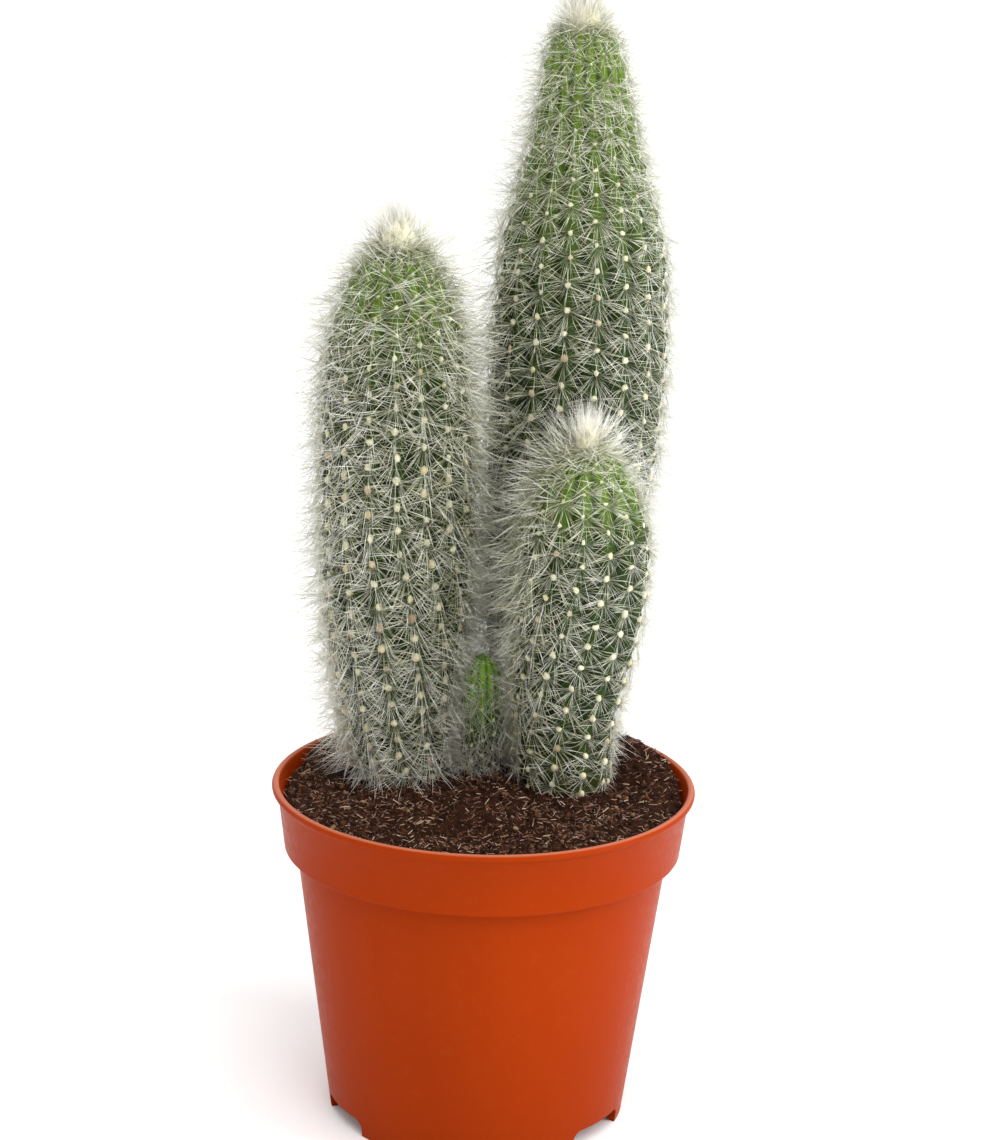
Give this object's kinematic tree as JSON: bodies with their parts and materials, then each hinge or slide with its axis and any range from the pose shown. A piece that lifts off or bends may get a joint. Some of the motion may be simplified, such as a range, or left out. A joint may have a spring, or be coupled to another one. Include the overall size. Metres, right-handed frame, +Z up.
{
  "type": "potted silver torch cactus",
  "caption": "Upright ribbed cactus columns with crown bristle tufts and a small offset, planted in peat in a round tapered nursery pot with a deep rim band and arched drain feet.",
  "frame": {"origin": "centre of the pot's base, on the pot's axis, at the level it stands on", "axes": "+Z up along the pot's axis, -Y towards the front, where the short column and the offset stand"},
  "size_m": [0.12, 0.12, 0.3234],
  "materials": {
    "pot": "satin",
    "soil": "matte",
    "skin": "matte",
    "young_skin": "satin",
    "bristle": "matte"
  },
  "bodies": {
    "root": {"pot": "pot", "soil": "soil", "stem_left": "skin", "stem_tall": "skin", "stem_front": "skin", "stem_offset": "young_skin", "crown_bristles_left": "bristle", "crown_bristles_tall": "bristle", "crown_bristles_front": "bristle"}
  },
  "joints": []
}
